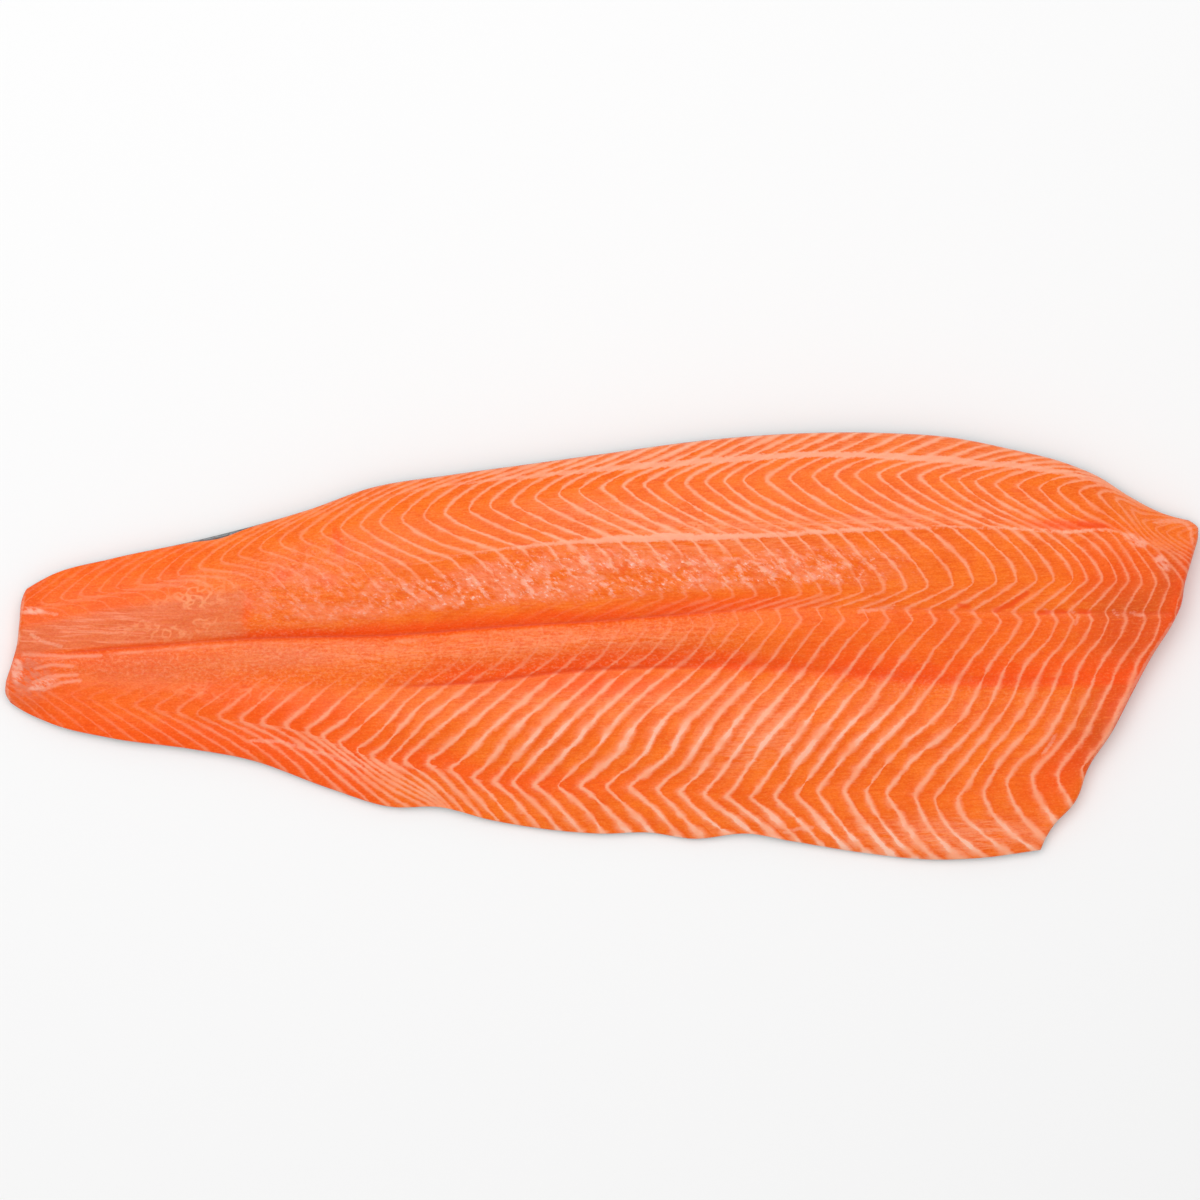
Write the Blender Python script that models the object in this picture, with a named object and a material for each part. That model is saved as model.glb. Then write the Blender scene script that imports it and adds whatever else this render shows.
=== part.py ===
"""A raw salmon fillet: one whole side of the fish, boned and trimmed, lying on its skin.

Metres, +Z up. The origin is on the surface that the fillet lies on, under the middle of its
outline. +X points to the head end and +Y to the back of the fish.

The fillet is two pieces. The flesh is thick along the back, falls into a sharp groove where the
backbone was cut out, rises to a low ridge, falls into the edge of the belly cavity and thins out
to the belly flap. The skin is an even sheet under it, which turns up at the two long edges.

Both pieces are cut from one grid of rows along the fish and columns across it. Seven named lines
run from tail to head, each with its place across the fillet and the height of the flesh on it,
and the rows are spread between them.
"""

import bmesh
import bpy
import numpy as np

MM = 0.001

# Driving sizes, in millimetres.
SKIN_THICKNESS = 1.0
SKIN_GAP = 0.3
BACK_ROLL = 17.0          # width over which the flesh rounds down to the back edge
BELLY_ROLL = 9.0          # the same at the thin belly edge
CUT_ROLL = 3.0            # the same at the tail cut and the head cut
BACK_EDGE_FLESH = 3.6     # height of flesh left at the very edge of the back
BELLY_EDGE_FLESH = 2.2
CUT_FLESH_SHARE = 0.86    # how much of its height the flesh keeps at the corner of a cut
HEAD_CUT_LEAN = 0.9       # the head cut runs at a slant, so it is nearer than it is along X
TURN_UP_WIDTH = 24.0      # width over which the skin turns up at a long edge
COLUMN_SPACING = 11.5
SPINE_GROOVE_HALF_WIDTH = 5.0

# The outline. Each long edge is y at x, and each cut is x at y.
BACK_EDGE = (
    (-300, 22), (-288, 28.8), (-276, 35.5), (-246, 43.8), (-206, 52.3), (-176, 59.8),
    (-146, 68.6), (-116, 79.2), (-76, 85.8), (-36, 91.3), (4, 96.8), (44, 102.3), (84, 105.9),
    (144, 106.8), (174, 104.8), (204, 99), (234, 91.3), (249, 85), (264, 75.5), (279, 67.6),
    (294, 63.3), (302, 62),
)
BELLY_EDGE = (
    (-300, -25), (-294, -29.5), (-276, -38.4), (-246, -45.8), (-206, -51.3), (-176, -56.8),
    (-136, -71.2), (-106, -80.3), (-80, -80.6), (-56, -86.8), (-26, -91.8), (0, -93.8),
    (24, -93.3), (46, -96.4), (74, -93.8), (94, -97.3), (134, -103.8), (164, -106.8),
    (190, -106), (220, -102), (260, -97), (302, -92),
)
TAIL_CUT = (
    (-45, -293), (-29, -295.4), (-24, -298), (-19, -298), (-9, -295), (0, -292.4),
    (11, -291), (26, -289), (31, -286.5), (45, -284),
)
HEAD_CUT = (
    (-112, 218), (-101, 220.5), (-89, 227), (-80, 235.6), (-59, 244.6), (-44, 254.6),
    (-24, 265), (-4, 275.6), (11, 285), (21, 289.5), (31, 291.2), (46, 295.6), (56, 298.4),
    (60, 298.2), (63.4, 294), (75, 280),
)

# The lines along the fish, from the belly edge to the back edge: place across at x.
CREASE = ((-302, -25), (-240, -33), (-180, -41), (-120, -56), (-60, -66), (0, -69), (60, -72),
          (120, -71), (180, -74), (230, -66), (302, -50))
BELLY_SWELL = ((-302, -18), (-240, -22), (-180, -28), (-120, -36), (-60, -41), (0, -43),
               (120, -43), (200, -44), (302, -36))
CAVITY_GROOVE = ((-302, -11), (-240, -15), (-180, -18), (-120, -20), (-60, -17.5), (-20, -12.5),
                 (30, -10), (75, -11), (120, -14), (160, -17.5), (240, -18.5), (302, -18))
LOW_RIDGE = ((-302, -9), (-240, -8), (-180, -7), (-120, -6), (-60, -3), (0, 2), (60, 5),
             (120, 6), (180, 4), (240, 2), (302, 0))
SPINE_GROOVE = ((-302, -6), (-230, 0), (-176, 4), (-100, 6), (-50, 10), (0, 13), (50, 17),
                (100, 19.5), (150, 19), (200, 17.5), (302, 17))
LOIN_CREST = ((-302, 13), (-240, 22), (-180, 33), (-120, 46), (-60, 57), (0, 63), (60, 66),
              (120, 66), (180, 64), (240, 57), (302, 45))

# Height of the flesh's upper face above the ground on each line, at x.
CREASE_HEIGHT = ((-302, 8), (-240, 9.5), (-180, 10.5), (-120, 10), (-60, 10), (0, 10.5), (60, 11),
                 (120, 11.5), (180, 12), (240, 12), (302, 12))
BELLY_SWELL_HEIGHT = ((-302, 9), (-240, 11.5), (-180, 13.5), (-120, 15), (-60, 16), (0, 16.5),
                      (120, 16.5), (200, 16), (302, 14))
CAVITY_GROOVE_HEIGHT = ((-302, 9.4), (-240, 12), (-180, 13.5), (-120, 14.5), (-60, 15), (0, 15.5),
                        (60, 16), (120, 16.5), (180, 17), (240, 17), (302, 14))
LOW_RIDGE_HEIGHT = ((-302, 9.8), (-240, 13), (-180, 15), (-120, 17.5), (-60, 20.5), (0, 22.5),
                    (60, 23.5), (120, 23.5), (180, 23), (240, 21), (302, 17))
SPINE_GROOVE_HEIGHT = ((-302, 10), (-240, 13.5), (-180, 16), (-120, 18.5), (-60, 21.5), (0, 24),
                       (60, 25.5), (120, 26), (180, 26), (240, 24), (302, 19))
LOIN_CREST_HEIGHT = ((-302, 11), (-240, 15), (-180, 19.5), (-120, 24.5), (-60, 28.5), (0, 31),
                     (60, 32), (120, 32), (180, 31), (240, 27.5), (302, 18))
BACK_HEIGHT = ((-302, 9), (-240, 12), (-180, 14), (-120, 17), (-60, 19), (0, 21), (60, 22),
               (120, 22), (180, 21), (240, 18), (302, 13))
BELLY_HEIGHT = ((-302, 6), (-240, 7.5), (-180, 8), (-120, 6.5), (-60, 6), (0, 6), (60, 6.2),
                (120, 6.6), (180, 7), (240, 7.5), (302, 8))

# Depth of the narrow cut left by the backbone, and how far the skin is turned up at each edge.
SPINE_CUT_DEPTH = ((-302, 0.5), (-240, 1.2), (-180, 3.2), (-140, 5), (-60, 4.4), (0, 4),
                   (60, 2.8), (120, 1.4), (240, 1), (302, 0.5))
BACK_TURN_UP = ((-302, 1.5), (-240, 3), (-120, 4.5), (0, 5.5), (140, 6), (220, 5), (302, 2))
BELLY_TURN_UP = ((-302, 1), (-240, 2.6), (-190, 2.2), (-106, 1.2), (-80, 2.3), (-40, 0.6),
                 (10, 1.4), (46, 0.5), (74, 2.4), (110, 0.8), (164, 0.6), (200, 1.8), (302, 1.2))

# The flesh stops short of the skin along the back, and most near the tail, where the skin shows.
SKIN_SHOWS = 0.4
SKIN_SHOWS_MOST = 1.9
SKIN_SHOWS_MOST_AT = -191
SKIN_SHOWS_MOST_OVER = 11

# Rows in each strip between two lines, from the belly edge to the back edge.
ROWS = (5, 4, 3, 3, 3, 5, 6)


def through(points, at):
    """Height of the smooth curve through points, read at each place."""
    xs, ys = np.array(points, float).T
    slopes = np.gradient(ys, xs)
    i = np.clip(np.searchsorted(xs, at) - 1, 0, len(xs) - 2)
    width = xs[i + 1] - xs[i]
    t = np.clip((at - xs[i]) / width, 0, 1)
    rise = ys[i + 1] - ys[i]
    ease = t * t * (3 - 2 * t)
    bend = width * t * (1 - t) * ((1 - t) * slopes[i] - t * slopes[i + 1])
    return ys[i] + rise * ease + bend


def set_back(x):
    """How far the flesh's edge lies inside the skin's edge along the back."""
    beside = (x - SKIN_SHOWS_MOST_AT) / SKIN_SHOWS_MOST_OVER
    return SKIN_SHOWS + (SKIN_SHOWS_MOST - SKIN_SHOWS) * np.exp(-beside * beside)


def rows_across():
    """Where each row lies among the eight lines, counted from 0 at the belly edge to 7 at the
    back edge. The first and last strips crowd their rows towards the edge, which is round."""
    stops = [0.0]
    for strip, count in enumerate(ROWS):
        for step in range(1, count + 1):
            t = step / count
            if strip == 0:
                t = t**1.6
            elif strip == len(ROWS) - 1:
                t = 1 - (1 - t) ** 1.8
            stops.append(strip + t)
    return np.array(stops)


def columns_along():
    """Share of the length at each column. Two more columns lie close to each cut."""
    length = 590.0
    near_cut = np.array([0.0, 1.0, 3.2]) / length
    count = int(length / COLUMN_SPACING)
    middle = np.linspace(COLUMN_SPACING / length, 1 - COLUMN_SPACING / length, count)
    return np.concatenate([near_cut, middle, 1 - near_cut[::-1]])


def across(lines, row, x):
    """Value at x of the smooth surface through the lines, at a row between two of them."""
    levels = np.array([through(line, x) for line in lines])
    return np.array([
        through(np.column_stack([np.arange(len(lines)), levels[:, i]]), row[i])
        for i in range(len(x))
    ])


def plan(row, share, show):
    """x and y of a grid point. The rows follow the lines along the fish, and each is measured
    from the tail cut to the head cut at its own y. show sets the flesh's back edge in."""
    y = np.zeros_like(share)
    for _ in range(8):
        tail = through(TAIL_CUT, y)
        x = tail + share * (through(HEAD_CUT, y) - tail)
        strips = np.array([through(line, x) for line in (
            BELLY_EDGE, CREASE, BELLY_SWELL, CAVITY_GROOVE, LOW_RIDGE, SPINE_GROOVE, LOIN_CREST)])
        edge = through(BACK_EDGE, x) - show * set_back(x)
        strips = np.vstack([strips, edge])
        below = np.clip(row.astype(int), 0, len(ROWS) - 1)
        pick = np.arange(len(row))
        y = strips[below, pick] + (row - below) * (strips[below + 1, pick] - strips[below, pick])
    return x, y


def from_edges(x, y):
    """Distances in from the belly edge, the back edge, the tail cut and the head cut."""
    return (
        np.maximum(y - through(BELLY_EDGE, x), 0),
        np.maximum(through(BACK_EDGE, x) - set_back(x) - y, 0),
        np.maximum(x - through(TAIL_CUT, y), 0),
        np.maximum(through(HEAD_CUT, y) - x, 0) * HEAD_CUT_LEAN,
    )


def rounded(distance, width):
    """0 at an edge, rising as a quarter circle to 1 at width."""
    t = np.clip(distance / width, 0, 1)
    return np.sqrt(t * (2 - t))


def turned_up(x, y):
    """Height of the skin's lower face: flat on the ground, and turned up at the long edges."""
    from_belly, from_back, _, _ = from_edges(x, y)
    back = through(BACK_TURN_UP, x) * np.clip(1 - from_back / TURN_UP_WIDTH, 0, 1) ** 2
    belly = through(BELLY_TURN_UP, x) * np.clip(1 - from_belly / TURN_UP_WIDTH, 0, 1) ** 2
    return back + belly


def upper_face(row, x, y):
    """Height of the flesh's upper face."""
    body = across((BELLY_HEIGHT, CREASE_HEIGHT, BELLY_SWELL_HEIGHT, CAVITY_GROOVE_HEIGHT,
                   LOW_RIDGE_HEIGHT, SPINE_GROOVE_HEIGHT, LOIN_CREST_HEIGHT, BACK_HEIGHT), row, x)
    from_spine = np.abs(y - through(SPINE_GROOVE, x))
    body -= through(SPINE_CUT_DEPTH, x) * np.exp(-from_spine / SPINE_GROOVE_HALF_WIDTH)
    from_belly, from_back, from_tail, from_head = from_edges(x, y)
    ground = turned_up(x, y) + SKIN_THICKNESS + SKIN_GAP
    body = np.maximum(body, ground + BELLY_EDGE_FLESH)
    at_back = ground + BACK_EDGE_FLESH
    body = at_back + (body - at_back) * rounded(from_back, BACK_ROLL)
    at_belly = ground + BELLY_EDGE_FLESH
    body = at_belly + (body - at_belly) * rounded(from_belly, BELLY_ROLL)
    for distance in (from_tail, from_head):
        at_cut = ground + (body - ground) * CUT_FLESH_SHARE
        body = at_cut + (body - at_cut) * rounded(distance, CUT_ROLL)
    return body


def grid_sheet(show):
    """A flat bmesh grid laid over the fillet's outline, with each point's row and its x and y."""
    rows, columns = rows_across(), columns_along()
    sheet = bmesh.new()
    bmesh.ops.create_grid(
        sheet, x_segments=len(columns) - 1, y_segments=len(rows) - 1, size=0.5)
    points = np.array([vertex.co for vertex in sheet.verts])
    column = np.round((points[:, 0] + 0.5) * (len(columns) - 1)).astype(int)
    line = np.round((points[:, 1] + 0.5) * (len(rows) - 1)).astype(int)
    row = rows[line]
    x, y = plan(row, columns[column], show)
    for vertex, across_x, across_y in zip(sheet.verts, x, y):
        vertex.co = (across_x * MM, across_y * MM, 0)
    return sheet, row, x, y


def thicken(sheet, low, high):
    """Closes the sheet into a solid between two heights given for each of its points."""
    sheet.verts.ensure_lookup_table()
    for vertex, height in zip(sheet.verts, low):
        vertex.co.z = height * MM
    lower = list(sheet.verts)
    made = bmesh.ops.extrude_face_region(sheet, geom=list(sheet.faces))["geom"]
    upper = {(v.co.x, v.co.y): v for v in made if isinstance(v, bmesh.types.BMVert)}
    for vertex, height in zip(lower, high):
        upper[(vertex.co.x, vertex.co.y)].co.z = height * MM
    bmesh.ops.recalc_face_normals(sheet, faces=list(sheet.faces))


def merge_flat_faces(sheet):
    """Joins the faces that lie in one plane, such as the middle of the underside."""
    flat = 0.0005
    bmesh.ops.dissolve_limit(
        sheet, angle_limit=flat, use_dissolve_boundaries=False,
        verts=list(sheet.verts), edges=list(sheet.edges), delimit=set())
    bmesh.ops.triangulate(sheet, faces=[face for face in sheet.faces if len(face.verts) > 4])


def plain_material(name, colour, roughness):
    material = bpy.data.materials.new(name)
    material.use_nodes = True
    shader = material.node_tree.nodes["Principled BSDF"]
    shader.inputs["Base Color"].default_value = (*colour, 1)
    shader.inputs["Roughness"].default_value = roughness
    shader.inputs["Metallic"].default_value = 0.0
    return material


def node_of(name, sheet, material):
    mesh = bpy.data.meshes.new(name)
    sheet.to_mesh(mesh)
    sheet.free()
    mesh.materials.append(material)
    mesh.shade_smooth()
    mesh.set_sharp_from_angle(angle=np.radians(40))
    piece = bpy.data.objects.new(name, mesh)
    bpy.context.scene.collection.objects.link(piece)
    return piece


def make_flesh():
    sheet, row, x, y = grid_sheet(show=1.0)
    low = turned_up(x, y) + SKIN_THICKNESS + SKIN_GAP
    thicken(sheet, low, upper_face(row, x, y))
    merge_flat_faces(sheet)
    return node_of("flesh", sheet, plain_material("salmon flesh", (0.93, 0.16, 0.035), 0.35))


def make_skin():
    sheet, _, x, y = grid_sheet(show=0.0)
    low = turned_up(x, y)
    thicken(sheet, low, low + SKIN_THICKNESS)
    merge_flat_faces(sheet)
    return node_of("skin", sheet, plain_material("salmon skin", (0.20, 0.22, 0.23), 0.3))


for leftover in list(bpy.data.objects):
    bpy.data.objects.remove(leftover, do_unlink=True)

make_flesh()
make_skin()
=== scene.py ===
# %% [markdown]
# # A raw side of salmon, cut side up
#
# The fillet is one whole side of the fish, lying on its skin. What the eye reads as salmon is the
# muscle: some fifty thin bands, each folded like a zigzag, with a pale sheet of fat between every
# two. The bands could be painted as a picture, but then they would be flat and wrong from the
# side. Here they are worked out as a number, which counts the bands from the tail to the head,
# and both the shape and the colours read that number.
#
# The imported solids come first, as a fixed frame. Every piece below is fitted to them.

import bmesh
import bpy
import numpy as np
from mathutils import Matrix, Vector, noise


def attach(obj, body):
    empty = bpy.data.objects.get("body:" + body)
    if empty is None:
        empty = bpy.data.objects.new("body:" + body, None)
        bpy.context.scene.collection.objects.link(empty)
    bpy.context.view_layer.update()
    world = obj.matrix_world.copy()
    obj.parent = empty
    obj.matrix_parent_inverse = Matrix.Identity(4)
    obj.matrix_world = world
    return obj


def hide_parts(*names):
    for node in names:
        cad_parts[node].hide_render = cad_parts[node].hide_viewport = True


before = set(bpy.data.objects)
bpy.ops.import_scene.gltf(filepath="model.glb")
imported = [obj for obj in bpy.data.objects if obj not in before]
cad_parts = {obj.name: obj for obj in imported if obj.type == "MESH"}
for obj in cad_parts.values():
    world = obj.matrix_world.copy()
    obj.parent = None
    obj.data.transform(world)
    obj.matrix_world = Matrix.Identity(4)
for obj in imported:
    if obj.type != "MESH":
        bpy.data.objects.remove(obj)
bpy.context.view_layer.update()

print("solids:", sorted(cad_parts))

# %% [markdown]
# ## Sizes and curves
#
# The fish is measured in millimetres here, because every size on it is a small one. A curve is a
# handful of points with a smooth line through them: y at x for a line along the fish, or x at y
# for a cut across it.

# %% A curve through a few points
MM = 0.001


def through(points, where):
    """Height of the smooth curve through points, read at each place."""
    xs, ys = np.array(points, float).T
    slopes = np.gradient(ys, xs)
    i = np.clip(np.searchsorted(xs, where) - 1, 0, len(xs) - 2)
    width = xs[i + 1] - xs[i]
    t = np.clip((where - xs[i]) / width, 0, 1)
    ease = t * t * (3 - 2 * t)
    bend = width * t * (1 - t) * ((1 - t) * slopes[i] - t * slopes[i + 1])
    return ys[i] + (ys[i + 1] - ys[i]) * ease + bend


def through_each(curves, where):
    """The same for several curves: a row of values for each."""
    return np.array([through(points, where) for points in curves])


def between(levels, below, part):
    """Value part of the way from a level to the next, with the level below given at each point."""
    pick = np.arange(len(below))
    return levels[below, pick] + part * (levels[below + 1, pick] - levels[below, pick])


# %% The outline: two long edges, and the cuts at tail and head
BACK_EDGE = (
    (-300, 22), (-288, 28.8), (-276, 35.5), (-246, 43.8), (-206, 52.3), (-176, 59.8),
    (-146, 68.6), (-116, 79.2), (-76, 85.8), (-36, 91.3), (4, 96.8), (44, 102.3), (84, 105.9),
    (144, 106.8), (174, 104.8), (204, 99), (234, 91.3), (249, 85), (264, 75.5), (279, 67.6),
    (294, 63.3), (302, 62),
)
BELLY_EDGE = (
    (-300, -25), (-294, -29.5), (-276, -38.4), (-246, -45.8), (-206, -51.3), (-176, -56.8),
    (-136, -71.2), (-106, -80.3), (-80, -80.6), (-56, -86.8), (-26, -91.8), (0, -93.8),
    (24, -93.3), (46, -96.4), (74, -93.8), (94, -97.3), (134, -103.8), (164, -106.8),
    (190, -106), (220, -102), (260, -97), (302, -92),
)
TAIL_CUT = (
    (-45, -293), (-29, -295.4), (-24, -298), (-19, -298), (-9, -295), (0, -292.4),
    (11, -291), (26, -289), (31, -286.5), (45, -284),
)
HEAD_CUT = (
    (-112, 218), (-101, 220.5), (-89, 227), (-80, 235.6), (-59, 244.6), (-44, 254.6),
    (-24, 265), (-4, 275.6), (11, 285), (21, 289.5), (31, 291.2), (46, 295.6), (56, 298.4),
    (60, 298.2), (63.4, 294), (75, 280),
)

# %% [markdown]
# ## The lie of the muscle
#
# Six lines run from tail to head between the two edges: the crease near the belly edge, the
# swell of the belly wall, the groove at the edge of the belly cavity, the low ridge above it, the
# groove that the backbone left, and the crest of the loin. Each has its place across the fish
# and the height of the flesh on it, as in the solids, so the surface made here lies on them.

# %% Lines along the fish, and the height of the flesh on each
STATIONS = (-302, -240, -180, -120, -60, 0, 60, 120, 180, 240, 302)


def at(places, *values):
    """Points for a curve: the values at the places."""
    return tuple(zip(places, values))


CREASE = ((-302, -25), (-240, -33), (-180, -41), (-120, -56), (-60, -66), (0, -69), (60, -72),
          (120, -71), (180, -74), (230, -66), (302, -50))
BELLY_SWELL = ((-302, -18), (-240, -22), (-180, -28), (-120, -36), (-60, -41), (0, -43),
               (120, -43), (200, -44), (302, -36))
CAVITY_GROOVE = ((-302, -11), (-240, -15), (-180, -18), (-120, -20), (-60, -17.5), (-20, -12.5),
                 (30, -10), (75, -11), (120, -14), (160, -17.5), (240, -18.5), (302, -18))
LOW_RIDGE = at(STATIONS, -9, -8, -7, -6, -3, 2, 5, 6, 4, 2, 0)
SPINE_GROOVE = ((-302, -6), (-230, 0), (-176, 4), (-100, 6), (-50, 10), (0, 13), (50, 17),
                (100, 19.5), (150, 19), (200, 17.5), (302, 17))
LOIN_CREST = at(STATIONS, 13, 22, 33, 46, 57, 63, 66, 66, 64, 57, 45)
CREASE_HEIGHT = at(STATIONS, 8, 9.5, 10.5, 10, 10, 10.5, 11, 11.5, 12, 12, 12)
BELLY_SWELL_HEIGHT = ((-302, 9), (-240, 11.5), (-180, 13.5), (-120, 15), (-60, 16), (0, 16.5),
                      (120, 16.5), (200, 16), (302, 14))
CAVITY_GROOVE_HEIGHT = at(STATIONS, 9.4, 12, 13.5, 14.5, 15, 15.5, 16, 16.5, 17, 17, 14)
LOW_RIDGE_HEIGHT = at(STATIONS, 9.8, 13, 15, 17.5, 20.5, 22.5, 23.5, 23.5, 23, 21, 17)
SPINE_GROOVE_HEIGHT = at(STATIONS, 10, 13.5, 16, 18.5, 21.5, 24, 25.5, 26, 26, 24, 19)
LOIN_CREST_HEIGHT = at(STATIONS, 11, 15, 19.5, 24.5, 28.5, 31, 32, 32, 31, 27.5, 18)
BACK_HEIGHT = at(STATIONS, 9, 12, 14, 17, 19, 21, 22, 22, 21, 18, 13)
BELLY_HEIGHT = at(STATIONS, 6, 7.5, 8, 6.5, 6, 6, 6.2, 6.6, 7, 7.5, 8)
SPINE_CUT_DEPTH = ((-302, 0.5), (-240, 1.2), (-180, 3.2), (-140, 5), (-60, 4.4), (0, 4),
                   (60, 2.8), (120, 1.4), (240, 1), (302, 0.5))
BACK_TURN_UP = ((-302, 1.5), (-240, 3), (-120, 4.5), (0, 5.5), (140, 6), (220, 5), (302, 2))
BELLY_TURN_UP = ((-302, 1), (-240, 2.6), (-190, 2.2), (-106, 1.2), (-80, 2.3), (-40, 0.6),
                 (10, 1.4), (46, 0.5), (74, 2.4), (110, 0.8), (164, 0.6), (200, 1.8), (302, 1.2))

# %% Widths over which the edges round, in millimetres
SKIN_THICKNESS = 1.0
SKIN_GAP = 0.3
BACK_ROLL = 17.0
BELLY_ROLL = 9.0
CUT_ROLL = 3.0
BACK_EDGE_FLESH = 3.6
BELLY_EDGE_FLESH = 2.2
CUT_FLESH_SHARE = 0.86
HEAD_CUT_LEAN = 0.9
TURN_UP_WIDTH = 24.0
SPINE_GROOVE_HALF_WIDTH = 5.0
SKIN_SHOWS = 0.12
SKIN_SHOWS_MOST = 1.9
SKIN_SHOWS_MOST_AT = -191
SKIN_SHOWS_MOST_OVER = 11
STRIPS = 7
PLAN_ROUNDS = 8


# %% Where a point of the sheet lies, and how high the flesh is there
def set_back(x):
    """How far the flesh's edge lies inside the skin's edge along the back."""
    beside = (x - SKIN_SHOWS_MOST_AT) / SKIN_SHOWS_MOST_OVER
    return SKIN_SHOWS + (SKIN_SHOWS_MOST - SKIN_SHOWS) * np.exp(-beside * beside)


def smooth_between(levels, row):
    """Value at a row on a smooth curve through eight levels, one for each line."""
    slopes = np.gradient(levels, axis=0)
    below = np.clip(row.astype(int), 0, STRIPS - 1)
    pick = np.arange(len(row))
    t = row - below
    bend = t * (1 - t) * ((1 - t) * slopes[below, pick] - t * slopes[below + 1, pick])
    return between(levels, below, t * t * (3 - 2 * t)) + bend


def plan(row, share, show):
    """x and y at a row across and a share of the length. show sets the back edge of the flesh in
    from the edge of the skin."""
    y = np.zeros_like(share)
    below = np.clip(row.astype(int), 0, STRIPS - 1)
    for _ in range(PLAN_ROUNDS):
        tail = through(TAIL_CUT, y)
        x = tail + share * (through(HEAD_CUT, y) - tail)
        lines = through_each((
            BELLY_EDGE, CREASE, BELLY_SWELL, CAVITY_GROOVE, LOW_RIDGE, SPINE_GROOVE, LOIN_CREST,
            BACK_EDGE), x)
        lines[-1] -= show * set_back(x)
        y = between(lines, below, row - below)
    return x, y


def from_edges(x, y):
    """Distances in from the belly edge, the back edge, the tail cut and the head cut."""
    return (
        np.maximum(y - through(BELLY_EDGE, x), 0),
        np.maximum(through(BACK_EDGE, x) - set_back(x) - y, 0),
        np.maximum(x - through(TAIL_CUT, y), 0),
        np.maximum(through(HEAD_CUT, y) - x, 0) * HEAD_CUT_LEAN,
    )


def rounded(distance, width):
    """0 at an edge, rising as a quarter circle to 1 at width."""
    t = np.clip(distance / width, 0, 1)
    return np.sqrt(t * (2 - t))


def turned_up(x, y):
    """Height of the skin's lower face: on the ground, and turned up at the long edges."""
    from_belly, from_back, _, _ = from_edges(x, y)
    back = through(BACK_TURN_UP, x) * np.clip(1 - from_back / TURN_UP_WIDTH, 0, 1) ** 2
    belly = through(BELLY_TURN_UP, x) * np.clip(1 - from_belly / TURN_UP_WIDTH, 0, 1) ** 2
    return back + belly


def upper_face(row, x, y):
    """Height of the flesh's smooth upper face, before the bands of muscle are put on it."""
    body = smooth_between(through_each((
        BELLY_HEIGHT, CREASE_HEIGHT, BELLY_SWELL_HEIGHT, CAVITY_GROOVE_HEIGHT, LOW_RIDGE_HEIGHT,
        SPINE_GROOVE_HEIGHT, LOIN_CREST_HEIGHT, BACK_HEIGHT), x), row)
    from_spine = np.abs(y - through(SPINE_GROOVE, x))
    body -= through(SPINE_CUT_DEPTH, x) * np.exp(-from_spine / SPINE_GROOVE_HALF_WIDTH)
    from_belly, from_back, from_tail, from_head = from_edges(x, y)
    ground = turned_up(x, y) + SKIN_THICKNESS + SKIN_GAP
    body = np.maximum(body, ground + BELLY_EDGE_FLESH)
    at_back = ground + BACK_EDGE_FLESH
    body = at_back + (body - at_back) * rounded(from_back, BACK_ROLL)
    at_belly = ground + BELLY_EDGE_FLESH
    body = at_belly + (body - at_belly) * rounded(from_belly, BELLY_ROLL)
    for distance in (from_tail, from_head):
        at_cut = ground + (body - ground) * CUT_FLESH_SHARE
        body = at_cut + (body - at_cut) * rounded(distance, CUT_ROLL)
    return body


# %% [markdown]
# ## Counting the bands of muscle
#
# Every band of a salmon's muscle is folded: from the back edge it runs towards the tail, turns at
# a sharp fold, runs far towards the head, turns again above the backbone, and then runs towards
# the tail down the belly wall, where it folds once more near the edge. The folds of all the bands
# lie on the same few lines along the fish.
#
# So a band needs only its place on each of these lines. The band number at a point is found the
# other way round: the number is guessed, the band's place at that height is worked out, and the
# guess is put right by how far off it was. A dozen rounds are enough.

# %% The lines that the folds lie on: y at x
FOLD_BELLY = (
    (-300, -18), (-225, -31), (-182, -37), (-150, -42), (-124, -52), (-110, -57), (-87, -58.5),
    (-56, -67.5), (-22, -70), (14, -70.5), (64, -75), (86, -75), (120, -72), (155, -73.5),
    (180, -76), (203, -67), (228, -63), (302, -50))
FOLD_BELOW_SPINE = ((-302, -8), (-230, -3), (-176, 1), (-100, 2), (-50, 5), (0, 8), (50, 10.5),
                    (90, 13), (120, 13.5), (160, 13), (200, 13), (302, 14))
FOLD_ABOVE_SPINE = ((-300, 6), (-240, 13), (-180, 18), (-120, 21), (0, 23), (60, 24.5),
                    (90, 25.5), (136, 27.5), (168, 30), (200, 32), (255, 32.5), (302, 29))
SEPTUM = ((-300, 14), (-240, 26), (-180, 35), (-120, 41), (-90, 42), (-60, 47), (-20, 51.5),
          (20, 54), (80, 55.3), (130, 58), (200, 59), (230, 57), (260, 56.5), (272, 51), (302, 40))
FOLD_BACK = ((-300, 18), (-233, 30), (-212, 35), (-192, 42), (-141, 57), (-110, 62), (-78, 66.5),
             (-56, 70), (-34, 74), (0, 79), (40, 81.5), (80, 83), (130, 85.5), (160, 84.5),
             (196, 81), (238, 77), (256, 74), (265, 68.5), (270, 62.5), (277, 58.5), (302, 54))
WHITE_LINE = ((-300, 24), (-240, 40), (-180, 54), (-120, 72), (-80, 80), (-40, 84.5), (-20, 86.5),
              (0, 88.5), (40, 91.5), (80, 94.5), (110, 95.6), (150, 94.5), (190, 91.3),
              (220, 88.7), (240, 85), (255, 79.5), (264, 74), (272, 69), (280, 65.5), (290, 62.5),
              (302, 60.5))

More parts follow.
